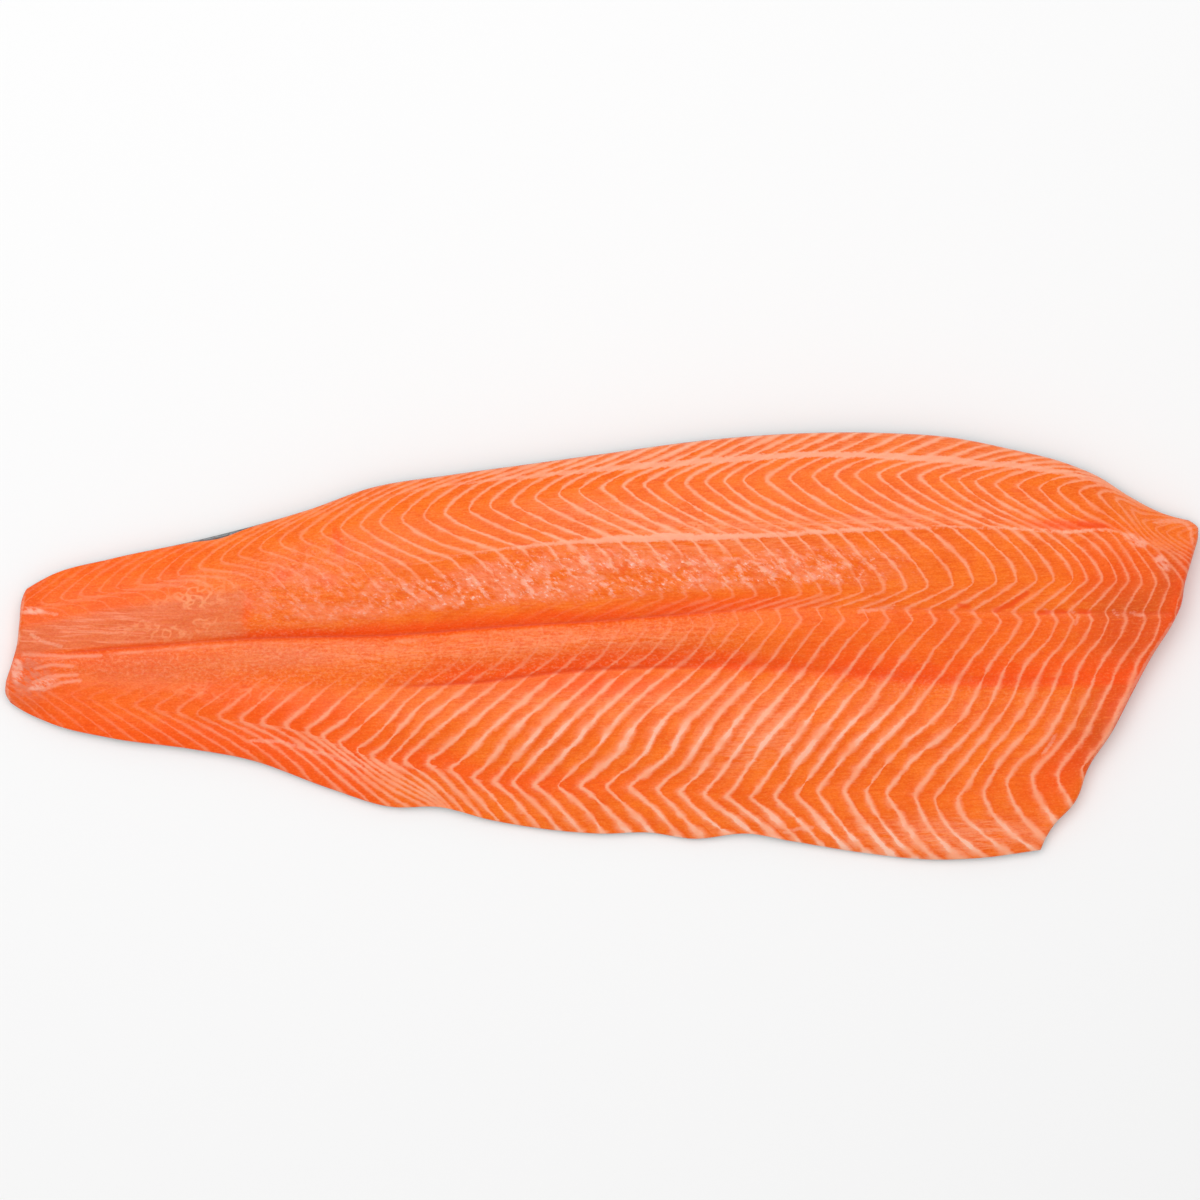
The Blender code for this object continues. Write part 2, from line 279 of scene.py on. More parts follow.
# %% x of each band on them, by the band's number
BAND_AT_FOLD_BACK = (
    (-46, -400), (-36, -300), (-29, -233), (-25, -192), (-20, -141), (-16, -100), (-12, -56),
    (-8, -11), (-4, 31), (0, 70.5), (4, 115), (8, 158), (12, 196), (16, 238), (18, 256.5),
    (20, 270), (22, 282), (24, 294), (34, 390))
BAND_AT_FOLD_BELLY = (
    (-46, -430), (-33, -300), (-26, -225), (-22, -182), (-19, -150), (-16, -124), (-13, -99.5),
    (-10, -66), (-6, -22.5), (-2, 27), (2, 75), (6, 120.5), (10, 167.5), (13, 203), (15, 228),
    (22, 312), (32, 425))
# How far towards the head the band lies on the other lines, counted from one of the two above.
BANDS = (-36, -20, -12, 0, 8, 12, 16, 20, 24)
ON_BELLY_EDGE = ((-46, 30), (-30, 36), (-24, 46), (-20, 56), (-17, 50), (-14, 34), (-11, 27),
                 (0, 25), (10, 25), (22, 26), (32, 26))
ON_BACK_EDGE = ((-36, 24), (-20, 44), (-10, 49), (0, 48), (10, 46), (15, 43), (18, 27), (24, 24))
ON_WHITE_LINE = ((-36, 12), (-20, 18), (0, 22), (14, 20.5), (18, 16), (24, 15))
ON_SEPTUM = at(BANDS, 18, 32, 40, 47, 46, 40, 30, 27, 32)
ON_FOLD_ABOVE_SPINE = at(BANDS, 30, 50, 62, 70, 68, 60, 45, 39, 42)
ON_SPINE_GROOVE = at(BANDS, 12, 26, 38, 47, 47, 46, 40, 36, 39)
ON_FOLD_BELOW_SPINE = at(BANDS, 14, 28, 40, 51, 51, 48, 41, 36, 39)
ON_ITSELF = ((-36, 0), (24, 0))
BAND_SPACING = 11.0
BAND_ZERO_AT = 70


# %% From a point to its band number
def fold_lines(x):
    """y of the nine lines at x, from the belly edge to the back edge."""
    return np.maximum.accumulate(through_each((
        BELLY_EDGE, FOLD_BELLY, FOLD_BELOW_SPINE, SPINE_GROOVE, FOLD_ABOVE_SPINE, SEPTUM,
        FOLD_BACK, WHITE_LINE, BACK_EDGE), x), axis=0)


def band_on_lines(band):
    """x of a band on the same nine lines."""
    ahead = through_each((
        ON_BELLY_EDGE, ON_ITSELF, ON_FOLD_BELOW_SPINE, ON_SPINE_GROOVE, ON_FOLD_ABOVE_SPINE,
        ON_SEPTUM, ON_ITSELF, ON_WHITE_LINE, ON_BACK_EDGE), band)
    ahead[:2] += through(BAND_AT_FOLD_BELLY, band)
    ahead[2:] += through(BAND_AT_FOLD_BACK, band)
    return ahead


LOW_SWAY = ((-302, -0.02), (-90, -0.005), (-30, -0.01), (10, 0.04), (35, 0.045), (60, 0),
            (120, -0.005), (165, -0.02), (190, 0), (210, 0.06), (302, 0.04))
MIDDLE_SWAY = ((-302, 0), (120, 0), (150, 0.03), (172, 0.08), (200, 0.13), (250, 0.09),
               (302, 0.05))
HIGH_SWAY = ((-302, 0.035), (20, 0.035), (70, 0.01), (110, -0.015), (160, -0.015), (190, 0.02),
             (230, 0.05), (302, 0.05))
SEPTUM_SLANT = ((-302, 0.9), (-60, 1.1), (-20, 1.2), (100, 1.25), (150, 1.4), (190, 1.7),
                (302, 1.6))
EDGE_CURL = ((-302, 0.85), (0, 0.85), (60, 1), (110, 1.2), (150, 1.5), (302, 1.5))
# How much a band is bent under the fold of the loin, and above it.
LOIN_BEND = 0.43
BACK_BEND = 0.58
# How the band number is guessed.
GUESS_ROUNDS = 12
GUESS_STEP = 0.5
GUESS_PUT_RIGHT = 0.9
MOST_BANDS_AT_ONCE = 6
LEAST_SPACING = 4.0


def bulge(t, middle, half_width):
    """A smooth hump of height 1."""
    return np.exp(-((t - middle) / half_width) ** 2)


def run_of_band(strip, t, x):
    """Share of its run that a band has made at a share t of the way up a strip. A band sways as
    it crosses the belly, meets the septum at a slant, and curls at the belly edge."""
    across_belly = (
        t + through(LOW_SWAY, x) * bulge(t, 0.22, 0.14) * np.minimum(t / 0.1, 1)
        + through(MIDDLE_SWAY, x) * bulge(t, 0.45, 0.22)
        + through(HIGH_SWAY, x) * bulge(t, 0.86, 0.1))
    return np.select(
        [strip == 0, strip == 1, strip == 4, strip == 5, strip == 6],
        [
            1 - (1 - t) ** through(EDGE_CURL, x),
            across_belly,
            t ** through(SEPTUM_SLANT, x),
            t + LOIN_BEND * t * (1 - t),
            t - BACK_BEND * t * (1 - t),
        ],
        t,
    )


def band_number(x, y):
    """The band number at each point, with the strip it lies in and how far up that strip."""
    lines = fold_lines(x)
    strip = np.clip((lines[1:-1] <= y).sum(axis=0), 0, len(lines) - 2)
    pick = np.arange(len(x))
    low, high = lines[strip, pick], lines[strip + 1, pick]
    up = np.clip((y - low) / np.maximum(high - low, 1e-6), 0, 1)
    run = run_of_band(strip, up, x)
    band = (x - BAND_ZERO_AT) / BAND_SPACING
    for _ in range(GUESS_ROUNDS):
        place = between(band_on_lines(band), strip, run)
        ahead = between(band_on_lines(band + GUESS_STEP), strip, run)
        per_band = np.maximum((ahead - place) / GUESS_STEP, LEAST_SPACING)
        off_by = np.clip((x - place) / per_band, -MOST_BANDS_AT_ONCE, MOST_BANDS_AT_ONCE)
        band = band + GUESS_PUT_RIGHT * off_by
    return band, strip, up


# %% Folds rounded off, and bands a little uneven
# Millimetres up and down. The folds are sharper toward the head.
FOLD_ROUNDING = ((-302, 1.7), (-80, 1.7), (20, 0.9), (302, 0.9))
BAND_UNEVENNESS = 0.17
UNEVEN_OVER_MM = 24
UNEVEN_OVER_BANDS = 1.4


def uneven(x, y, size, seed, stretch=1.0):
    """Smooth noise from -1 to 1 with hollows of a size in millimetres, stretched along x. Each
    seed, a whole number, gives another noise."""
    return np.array([
        noise.noise(Vector((a / (size * stretch), b / size, seed))) for a, b in zip(x, y)])


def rounded_band(x, y):
    """The band number with its folds rounded off, by averaging it a little way up and down."""
    middle, strip, up = band_number(x, y)
    away = through(FOLD_ROUNDING, x)
    above = band_number(x, y + away)[0]
    below = band_number(x, y - away)[0]
    band = 0.5 * middle + 0.25 * (above + below)
    drift = uneven(band, y, UNEVEN_OVER_MM, 7, UNEVEN_OVER_BANDS / UNEVEN_OVER_MM)
    return band + BAND_UNEVENNESS * drift, strip, up


def spacing_of_bands(x, y):
    """Millimetres from one band to the next, across them."""
    step = 0.4
    here = band_number(x, y)[0]
    along = (band_number(x + step, y)[0] - here) / step
    across = (band_number(x, y + step)[0] - here) / step
    return 1 / np.maximum(np.hypot(along, across), 0.02)


# %% [markdown]
# ## A closed sheet to hang it all on
#
# The flesh is one grid, pulled to the outline, with its rim extruded down to make the cut walls
# and then inwards to make the underside. A box could be sculpted instead, but a grid keeps a
# simple order: each point knows its row across the fish, its share of the length and how many
# steps it lies beyond the rim, and its place is worked out from those three.

# %% Grid, walls and underside
COLUMNS = 452
ROWS_IN_STRIP = (26, 22, 18, 14, 12, 30, 38)
WALL_DEPTHS = (0.02, 0.1, 0.22, 0.36, 0.52, 0.68, 0.84, 1.0)
UNDER_ROWS = (0.25, 0.6, 1.0, 1.5, 2.1, 2.9)
UNDER_SHARES = (0.004, 0.01, 0.016, 0.024, 0.032, 0.04)


def spread_rows(rows_in_strip):
    """Row positions, close together at the two round edges."""
    stops = [0.0]
    for strip, count in enumerate(rows_in_strip):
        for step in range(1, count + 1):
            t = step / count
            if strip == 0:
                t = t**1.4
            elif strip == STRIPS - 1:
                t = 1 - (1 - t) ** 1.6
            stops.append(strip + t)
    return np.array(stops)


def mesh_of(name, shape):
    mesh = bpy.data.meshes.new(name)
    shape.to_mesh(mesh)
    shape.free()
    return mesh


def add_object(name, data):
    made = bpy.data.objects.new(name, data)
    bpy.context.scene.collection.objects.link(made)
    return made


def read_layer(mesh, name):
    values = np.empty(len(mesh.vertices), np.float32)
    mesh.attributes[name].data.foreach_get("value", values)
    return values.astype(float)


def rim_extruded(sheet, level_layer, level, bottom):
    """Extrudes the open rim of the sheet once, and gives the new points their level."""
    rim = [edge for edge in sheet.edges if edge.is_boundary]
    made = bmesh.ops.extrude_edge_only(sheet, edges=rim)["geom"]
    for point in made:
        if isinstance(point, bmesh.types.BMVert):
            point[level_layer] = level
    if bottom:
        rim = [edge for edge in sheet.edges if edge.is_boundary]
        bmesh.ops.contextual_create(sheet, geom=rim)


def closed_sheet(name, columns, rows, levels):
    """A mesh of a grid closed by levels of extruded rim, holding share, row and level."""
    sheet = bmesh.new()
    bmesh.ops.create_grid(sheet, x_segments=columns, y_segments=len(rows) - 1, size=0.5)
    share = sheet.verts.layers.float.new("share")
    row = sheet.verts.layers.float.new("row")
    level = sheet.verts.layers.float.new("level")
    for point in sheet.verts:
        point[share] = point.co.x + 0.5
        point[row] = rows[round((point.co.y + 0.5) * (len(rows) - 1))]
    for step in range(1, levels + 1):
        rim_extruded(sheet, level, step, bottom=step == levels)
    bmesh.ops.recalc_face_normals(sheet, faces=list(sheet.faces))
    return mesh_of(name, sheet)


flesh_mesh = closed_sheet(
    "flesh_surface", COLUMNS, spread_rows(ROWS_IN_STRIP), len(WALL_DEPTHS) + len(UNDER_ROWS))
print("points in the flesh sheet:", len(flesh_mesh.vertices))

# %% [markdown]
# ## Where each point lies
#
# The grid is now pulled out flat to its place in plan. The heights come later, once the bands and
# the marks of the knife are known, because both raise or lower the surface a little.

# %% Place of every point in plan, with its band
share = read_layer(flesh_mesh, "share")
row = read_layer(flesh_mesh, "row")
level = read_layer(flesh_mesh, "level").round().astype(int)


def drawn_in(row, share, level):
    """Row and share of the points on the underside, drawn in from the rim by their level."""
    under = np.clip(level - len(WALL_DEPTHS), 0, len(UNDER_ROWS))
    row_in = np.concatenate([[0.0], UNDER_ROWS])[under]
    share_in = np.concatenate([[0.0], UNDER_SHARES])[under]
    return row_in + row * (1 - 2 * row_in / STRIPS), share_in + share * (1 - 2 * share_in)


flesh_row, flesh_share = drawn_in(row, share, level)
x, y = plan(flesh_row, flesh_share, show=1.0)
on_top = level == 0
band, strip, up = rounded_band(x, y)
spacing = spacing_of_bands(x, y)
print("bands from", round(band[on_top].min()), "to", round(band[on_top].max()),
      "spaced", np.percentile(spacing[on_top], [5, 50, 95]).round(1), "mm")

# %% [markdown]
# ## The sheets of fat
#
# Between two bands lies a sheet of fat and fine skin. It is thick in the belly wall, thin in the
# loin and almost gone toward the tail. Its strength and half its width are given on each line
# along the fish, and run smoothly from one line to the next.

# %% Strength of the fat, and half its width in millimetres: a row for each line along the fish
FAT_STRENGTH = (
    ((-300, 0.15), (-200, 0.3), (-120, 0.5), (-80, 0.65), (0, 0.95), (302, 1)),
    ((-300, 0.1), (-240, 0.15), (-200, 0.35), (-130, 0.75), (-60, 0.9), (130, 0.9), (200, 0.72),
     (302, 0.65)),
    ((-300, 0), (-100, 0.05), (0, 0.1), (60, 0.2), (120, 0.35), (200, 0.5), (302, 0.45)),
    ((-300, 0), (0, 0.1), (100, 0.35), (200, 0.5), (302, 0.45)),
    ((-300, 0), (-120, 0.05), (80, 0.25), (150, 0.5), (250, 0.5), (302, 0.4)),
    ((-300, 0.1), (-130, 0.4), (-80, 0.75), (150, 0.85), (220, 0.7), (302, 0.4)),
    ((-300, 0.2), (-200, 0.24), (-120, 0.44), (-60, 0.68), (0, 0.78), (120, 0.75), (220, 0.62),
     (302, 0.3)),
    ((-300, 0.1), (-140, 0.35), (-60, 0.65), (0, 0.8), (120, 0.78), (220, 0.68), (302, 0.3)),
    ((-300, 0.1), (-100, 0.4), (0, 0.95), (200, 0.8), (302, 0.4)),
)
FAT_HALF_WIDTH = (
    ((-300, 0.5), (-120, 0.7), (-60, 0.9), (0, 1.3), (302, 1.4)),
    ((-300, 0.5), (-130, 0.7), (0, 0.75), (302, 0.85)),
    ((-300, 0.5), (0, 0.45), (120, 0.55), (302, 0.5)),
    ((-300, 0.5), (302, 0.5)),
    ((-300, 0.5), (302, 0.55)),
    ((-300, 0.5), (-80, 0.6), (302, 0.6)),
    ((-300, 0.45), (0, 0.5), (302, 0.5)),
    ((-300, 0.45), (0, 0.5), (302, 0.5)),
    ((-300, 0.45), (0, 0.65), (302, 0.65)),
)


def ramp(low, high, value):
    """Rises smoothly from 0 at low to 1 at high."""
    t = np.clip((value - low) / (high - low), 0, 1)
    return t * t * (3 - 2 * t)


in_belly = strip == 1
holds_to = through(((-302, -0.15), (-220, -0.05), (-150, 0.15), (-80, 0.35), (302, 0.35)), x)
held = np.where(in_belly, ramp(holds_to, holds_to + 0.6, up), up)
fat = between(through_each(FAT_STRENGTH, x), strip, held)
fat_width = between(through_each(FAT_HALF_WIDTH, x), strip, held)
thick_part = bulge(up, 0.32, 0.2) * ramp(-100, -30, x) * (1 - 0.9 * ramp(120, 200, x))
fat_width += np.where(in_belly, 0.5 * thick_part, 0)
print("half width of the fat sheets:", fat_width[on_top].min().round(1), "to",
      fat_width[on_top].max().round(1), "mm")

# %% [markdown]
# ## Marks along the fish
#
# Several things on the face don't follow the bands: the pale septum and white line that run the
# length of the loin, the groove where the backbone lay, the edge of the belly cavity, the thin
# film over the tail, and the nicks of the knife. They could be modelled one by one, but all of them
# fade into the flesh. So each is a soft mask, 1 where it is and 0 away from it, and the same mask
# moves the surface and later colours it.

# %% Where each point lies from the lines, and soft shapes
lines_here = fold_lines(x)
above_fold, above_spine, above_septum, above_white = y - lines_here[[1, 3, 5, 7]]
above_cavity = y - through(CAVITY_GROOVE, x)
from_belly, from_back, from_tail, from_head = from_edges(x, y)
rough = uneven(x, y, 7, 11, 2.0)


def span(value, low, full, fading, gone):
    """Rises smoothly from 0 at low to 1 at full, then falls from fading to 0 at gone."""
    return ramp(low, full, value) * (1 - ramp(fading, gone, value))


def patch(x, y, middle, size, turn=0.0):
    """A soft oval patch about a middle, with its half sizes and its turn in degrees."""
    turn = np.radians(turn)
    along = ((x - middle[0]) * np.cos(turn) + (y - middle[1]) * np.sin(turn)) / size[0]
    across = ((y - middle[1]) * np.cos(turn) - (x - middle[0]) * np.sin(turn)) / size[1]
    return np.exp(-((along**2 + across**2) ** 1.5))


def patches(*places):
    """Soft patches on the flesh: a strength for each, and then what a patch asks for."""
    return [strength * patch(x, y, *about) for strength, *about in places]


def from_stroke(x, y, points):
    """Distance in millimetres from the line through the points."""
    near = np.full_like(x, 1e3)
    for (x0, y0), (x1, y1) in zip(points, points[1:]):
        run = (x1 - x0) ** 2 + (y1 - y0) ** 2
        t = np.clip(((x - x0) * (x1 - x0) + (y - y0) * (y1 - y0)) / run, 0, 1)
        near = np.minimum(near, np.hypot(x - x0 - t * (x1 - x0), y - y0 - t * (y1 - y0)))
    return near


# %% The pale septum and white line, and the wet, grainy parts
SEPTUM_SHOWS = ((-302, 0), (-115, 0), (-70, 0.6), (-20, 0.95), (140, 0.95), (170, 0.85),
                (255, 0.8), (272, 0.2), (302, 0))
WHITE_LINE_SHOWS = ((-302, 0), (-170, 0), (-90, 0.25), (-50, 0.6), (0, 0.85), (40, 0.95),
                    (190, 0.95), (240, 0.7), (264, 0), (302, 0))
septum_half = 0.5 + 0.3 * span(x, -60, 10, 120, 160) + 0.9 * bulge(x, 30, 45)
white_half = 0.5 + 0.9 * ramp(-80, 40, x) * (1 - 0.4 * ramp(200, 260, x))
from_septum = np.abs(above_septum - 0.7 * rough)
from_white = np.abs(above_white - 0.9 * rough)
septum_shows, white_shows = through(SEPTUM_SHOWS, x), through(WHITE_LINE_SHOWS, x)
septum = septum_shows * bulge(from_septum, 0, septum_half + 0.6)
white_line = white_shows * bulge(from_white, 0, white_half + 0.8)
off_septum, off_white = from_septum - septum_half, from_white - white_half
pale_edge = np.minimum(off_septum, off_white)
pale = np.where(off_septum < off_white, septum_shows, white_shows)

torn_up_to = 7 * (1 - ramp(-120, -90, x)) + 6 * bulge(x, -20, 45)
torn_down_to = 5 * (1 - ramp(-130, -90, x))
wet = (ramp(9, 15, above_spine + torn_down_to) * (1 - ramp(-14, -5, above_septum - torn_up_to))
       * span(x, -185, -160, 90, 170))
wet = np.maximum(wet, 0.5 * patch(x, y, (-146, 38), (40, 12), 14))
wet *= 0.75 + 0.25 * ramp(-130, -90, x)
curd = wet * (0.45 + 0.55 * ramp(-130, -60, x))
grainy = np.maximum.reduce([
    ramp(-3, 3, above_cavity) * (1 - ramp(-2, 3, above_spine)) * (1 - 0.8 * ramp(30, 100, x)),
    *patches((0.8, (-165, 0), (60, 22), 4), (0.8, (-150, 35), (60, 20), 14),
             (0.6, (10, 66), (50, 8), 6), (0.7, (165, -20), (70, 8), -4)),
])
print("share of the face that is wet:", round(wet[on_top].mean(), 2))

# %% Deep orange: painted shade in grooves and creases, and deeper colour where thin or torn
# Painted shade: these masks darken the colour above the spine groove and the cavity groove, on the
# slope below the low ridge, in the belly crease, on the tail belly, toward the head cut and in the
# pocket, where the surface lies in shade.
spine_shade = (ramp(-1.5, 0.5, above_spine + rough)
               * (1 - ramp(2, 10 + 0.02 * x, above_spine + 2 * rough))
               * span(x, -200, -165, 70, 130))
cavity_shade = (ramp(-1.0, 0.3, above_cavity + 0.3 * rough)
                * (1 - ramp(2, 14, above_cavity + 2 * rough))
                * span(x, -110, -70, 250, 300) * (1 - 0.35 * ramp(60, 110, x)))
ridge_slope_shade = (ramp(-4, 1, above_cavity + rough)
                * (1 - 0.65 * ramp(2, 20, above_cavity + 2 * rough))
                * (1 - ramp(-6, 4, above_spine + rough)) * ramp(50, 130, x))
belly_crease_shade = span(above_fold, -9, -1, 3, 12)
belly_crease_shade *= through(((-302, 0.3), (-120, 0.6), (-40, 0.6), (40, 0.2), (302, 0.35)), x)
tail_belly_shade = ramp(8, 30, -y - 10 - 0.06 * (x + 290)) * (1 - ramp(-150, -110, x))
head_cut_shade = ramp(6, 26, x - 238 - 0.35 * (y + 60)) * (1 - ramp(42, 60, y))
shaded_pocket = patch(x, y, (234, 60.3), (27, 3.2), -2)
# The deep mask: the painted shade above, together with deeper orange spots and patches and the thin
# tail.
deep_and_painted_shade = np.maximum.reduce([
    0.9 * spine_shade, cavity_shade, 0.95 * ridge_slope_shade, belly_crease_shade, 0.75 * tail_belly_shade,
    0.7 * ramp(-95, -125, x) * ramp(-35, -50, y), 0.85 * head_cut_shade, 0.85 * shaded_pocket,
    0.4 * (1 - ramp(-230, -180, x)),
    *patches(
        (0.65, (-160, -34), (60, 16), -12), (0.5, (-255, -32), (50, 10), -8),
        (0.7, (-159, 35), (6, 3), 28), (0.6, (-136, 33), (5, 3)),
        (0.8, (-131, 52), (2.5, 10), 14), (0.6, (-177, 18), (3, 11), -4),
        (0.7, (0, -19), (45, 6)), (0.5, (255, 40), (28, 16)), (0.5, (262, -22), (20, 14), 60),
        (0.6, (228, -62), (22, 12), 45), (0.7, (-88, -57), (28, 7), -8)),
])
print("share of the face that is deep orange:", round(deep_and_painted_shade[on_top].mean(), 2))

# %% The film over the tail, furrows in painted shade, lips in painted highlight, pale haze
film = (ramp(-300, -294, x) * (1 - ramp(-182, -175, x + 2.5 * rough)) * ramp(0, 3, above_spine)
        * (1 - ramp(-10, -4, above_septum)) * on_top)
film_strands = film * (1 - 0.8 * ramp(-245, -210, x))
low_film = sum(patches((0.7, (-226, -12), (42, 9), 2), (0.6, (-160, -5), (34, 7), 4)))
# The furrows are sunk in the relief, and their dark colour is painted shade.
shaded_furrow = np.maximum.reduce([
    bulge(above_spine, 0.4 * rough, 0.9) * span(x, -280, -250, 20, 100),
    bulge(above_cavity, 0.4 * rough, 0.9) * span(x, -110, -85, 10, 80),
    0.5 * bulge(above_spine, 0.3 + 0.5 * rough, 0.6) * ramp(100, 150, x),
    0.4 * bulge(above_cavity, 2 + 0.6 * rough, 2.2) * span(x, 0, 50, 180, 260),
])
# The lips are raised a little, and their light colour is a painted highlight on the ridge edge.
highlit_lip = np.maximum(
    bulge(above_spine, -2.6 + 0.5 * rough, 0.8) * (1 - ramp(-180, -140, x)),
    0.6 * bulge(above_spine, -3.2 + 0.6 * rough, 0.9) * span(x, -150, -110, -20, 40))
over_septum = bulge(above_septum, 4.5, 3) * span(x, 20, 60, 150, 190)
over_white = ramp(0, 3, above_white) * span(x, -60, 0, 190, 240)
# Pale haze: partly paler flesh, partly a painted highlight on the ridges and the belly.
pale_haze_and_highlight = np.maximum.reduce([
    0.25 * over_white, 0.7 * over_septum,
    *patches(
        (0.55, (76, -46), (26, 13), 30), (0.5, (40, 59), (60, 4)), (0.4, (5, 66), (40, 7), -8),
        (0.45, (-125, -3), (60, 8)), (0.3, (20, -25), (80, 8)), (0.5, (-20, 1), (75, 7), 3),
        (0.5, (45, 50), (60, 4), 1), (0.8, (180, -94), (50, 8))),
])
contours = sum(patches(
    (1.3, (-204, 20), (20, 13), 20), (1.0, (70, 60), (75, 3), 1), (0.6, (-215, 8), (40, 6)),
    (0.5, (-190, -22), (40, 6))))
fat *= (1 - 0.85 * shaded_pocket) * (1 - 0.55 * over_septum)
fat *= 1 - 0.5 * patch(x, y, (280, 60), (30, 20))
print("film from", x[film > 0.5].min().round(), "to", x[film > 0.5].max().round(), "mm")

# %% Nicks, streaks and blotches, and painted shade at the edges
NICKS = (
    ((196, 18), (204, 21), (212, 27)), ((178, 20.5), (183, 20)), ((218, 17), (223, 17)),
    ((227, 17.5), (231, 17.5)), ((238, 17.6), (243, 17.4)), ((238, 61), (250, 60)),
)
STREAKS = (
    ((-289, 25), (-291, 11), (-292, 1)), ((-295.5, -8), (-297.5, -20), (-296.5, -27)),
    ((-288, 17), (-280, 17.5), (-272, 16)), ((-285, 6), (-279, 2.5), (-270, 0)),
    ((-289, -4), (-265, -5), (-250, -4.5)), ((-283, -11), (-274, -9), (-264, -10)),
    ((-284, -18), (-276, -15), (-262, -14)), ((-280, -22), (-270, -18), (-260, -17)),
    ((92, -93), (99, -91.2), (106, -90.5)),
    ((-175, -47), (-160, -47.5), (-150, -51), (-135, -54.5), (-120, -60)),
    ((276, 62), (286, 63), (292, 62), (295, 58), (295, 52)),
    ((285, 12), (274, -5), (264, -23), (254, -43), (245, -59)),
    ((221, 18), (225, 16.5)), ((234, 18), (238, 15), (236, 11)), ((255, 18), (258, 15)),
    ((264, 17), (270, 15.5)), ((128, 17.5), (138, 18.5)), ((141, 19), (146, 20)),
    ((221, -53), (225, -48), (227, -44)),
)
BLOTCHES = (
    (1, (266, 53), (7, 2.6), -25), (1, (279.5, 42), (5.5, 2.8), -50), (1, (-284, 18), (6, 2), -5),
    (1, (-292, -12), (3, 7)), (1, (-279, -19), (8, 2), 20),
)
nick = np.min([from_stroke(x, y, points) for points in NICKS], axis=0)
streak = np.min([from_stroke(x, y, points) for points in STREAKS], axis=0)
blotch = np.max(patches(*BLOTCHES), axis=0)
# Painted shade: darker colour near the head cut, at the tail end and beside the spine groove toward
# the tail, where the surface falls away or lies in a groove.
rim = np.maximum.reduce([
    ramp(34, 3, from_head) * span(y, -75, -55, 38, 56), patch(x, y, (264, 10), (24, 30)),
    0.4 * ramp(-262, -285, x), 0.8 * spine_shade * ramp(-110, -140, x),
])
pink = patch(x, y, (-287, -15), (11, 12))
print("nicks:", len(NICKS), " streaks:", len(STREAKS), " blotches:", len(BLOTCHES))

# %% [markdown]
# ## Relief
#
# Wet flesh shows its shape mostly by its shine, so the relief has to be real: each band swells a
# little between its two sheets of fat, the septum stands up as a soft ridge, and the whole face is
# gently uneven from the knife. The wet part above the backbone is lumpy.

# %% Heights of the relief, in millimetres
FLAKE_SWELL = 0.4
FAT_RIDGE = 0.1
SEPTUM_RIDGE = 0.55
WHITE_LINE_RIDGE = 0.5
KNIFE_WAVES = 0.35
SMALL_WAVES = 0.12
LUMPS = 0.8
NICK_DEPTH = 0.35
NICK_WIDTH = 1.8
FURROW_DEPTH = 0.7
LIP_HEIGHT = 0.25
FILM_WRINKLES = 0.3
BLOTCH_HEIGHT = 0.3
# The face is lowered a little first, so that the relief on it stays inside the solid's box.
FACE_LOWERED = 0.7
RELIEF_STARTS_WITHIN = 3
LEAST_FLESH = 1.0

off_line = np.abs(band - np.round(band))
swell = 1 - (2 * off_line) ** 3
relief = FLAKE_SWELL * fat * (swell - 0.6)
relief += FAT_RIDGE * fat * np.exp(-((off_line * spacing / fat_width) ** 2))
relief += SEPTUM_RIDGE * septum + WHITE_LINE_RIDGE * white_line
relief += KNIFE_WAVES * uneven(x, y, 16, 1) + SMALL_WAVES * uneven(x, y, 5, 2)
lumpy = (0.25 + wet) * ramp(-25, 0, above_cavity) * (1 - ramp(20, 45, above_septum))
relief += LUMPS * lumpy * (1 - ramp(100, 200, x)) * uneven(x, y, 3.6, 3, 1.4)
relief -= NICK_DEPTH * bulge(nick, 0, NICK_WIDTH)
relief -= FURROW_DEPTH * shaded_furrow - LIP_HEIGHT * highlit_lip
relief += FILM_WRINKLES * film * uneven(x, y, 1.8, 4, 6) + BLOTCH_HEIGHT * blotch
print("relief from", relief[on_top].min().round(2), "to", relief[on_top].max().round(2), "mm")

# %% Heights of all points, written into the mesh
to_cut = np.minimum(from_tail, from_head)
inside = np.minimum.reduce([from_belly, from_back, to_cut])
under = turned_up(x, y) + SKIN_THICKNESS + SKIN_GAP
top = upper_face(flesh_row, x, y) - FACE_LOWERED
top = np.maximum(top + relief * np.clip(inside / RELIEF_STARTS_WITHIN, 0, 1), under + LEAST_FLESH)
depth = np.concatenate([[0.0], WALL_DEPTHS])[np.clip(level, 0, len(WALL_DEPTHS))]
z = top + (under - top) * depth
z[level > len(WALL_DEPTHS)] = under[level > len(WALL_DEPTHS)]
flesh_mesh.vertices.foreach_set("co", (np.column_stack([x, y, z]) * MM).astype(np.float32).ravel())
flesh_mesh.update()
print("flesh:", [round(np.ptp(v)) for v in (x, y, z)], "mm long, wide and high")

# %% Attributes that the materials read
# The sheets of fat lean back under the face: this many bands for each millimetre down. A cut wall
# is across the fish, so rings of muscle show on it.
SHEET_LEAN = 0.06
CUT_WALL_WITHIN = 0.3
RINGS_APART = 7.5
RINGS_BEND = 1.3

